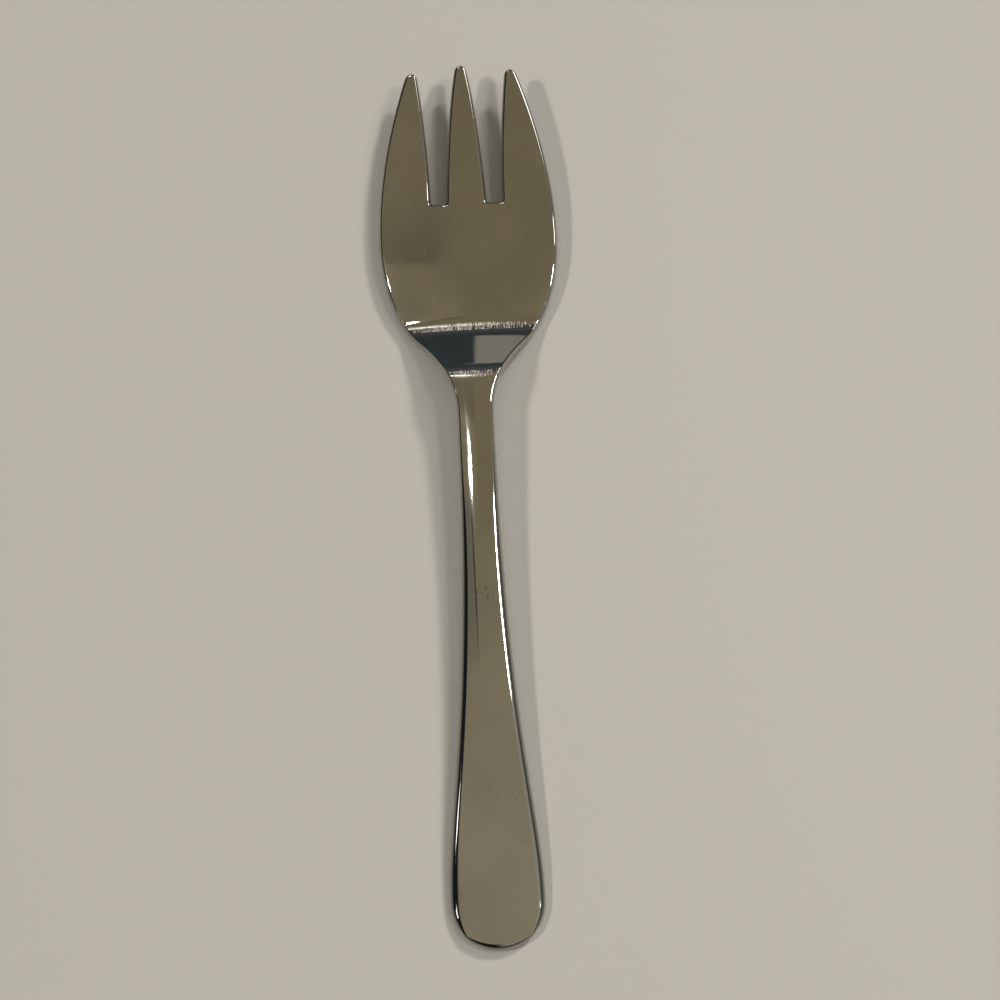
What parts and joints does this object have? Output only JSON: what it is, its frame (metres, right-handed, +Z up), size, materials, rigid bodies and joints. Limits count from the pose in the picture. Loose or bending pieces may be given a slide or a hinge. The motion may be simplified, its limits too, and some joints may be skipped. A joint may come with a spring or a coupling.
{
  "type": "oyster fork",
  "caption": "Small polished steel fork: short pointed tines on a broad, flat, upturned head, a stepped shoulder, a slim waist and a crowned handle with a round butt.",
  "frame": {"origin": "centre of the fork's outline, at the height of the table that it lies on", "axes": "+Y from the butt of the handle to the tips, +X across, +Z up, the way that the tips turn"},
  "size_m": [0.0294, 0.145, 0.0082],
  "materials": {
    "polished_steel": "mirror-polished stainless steel, unplated, with fine scratches and smudges from use"
  },
  "bodies": {
    "root": {"fork": "polished_steel"}
  },
  "joints": []
}
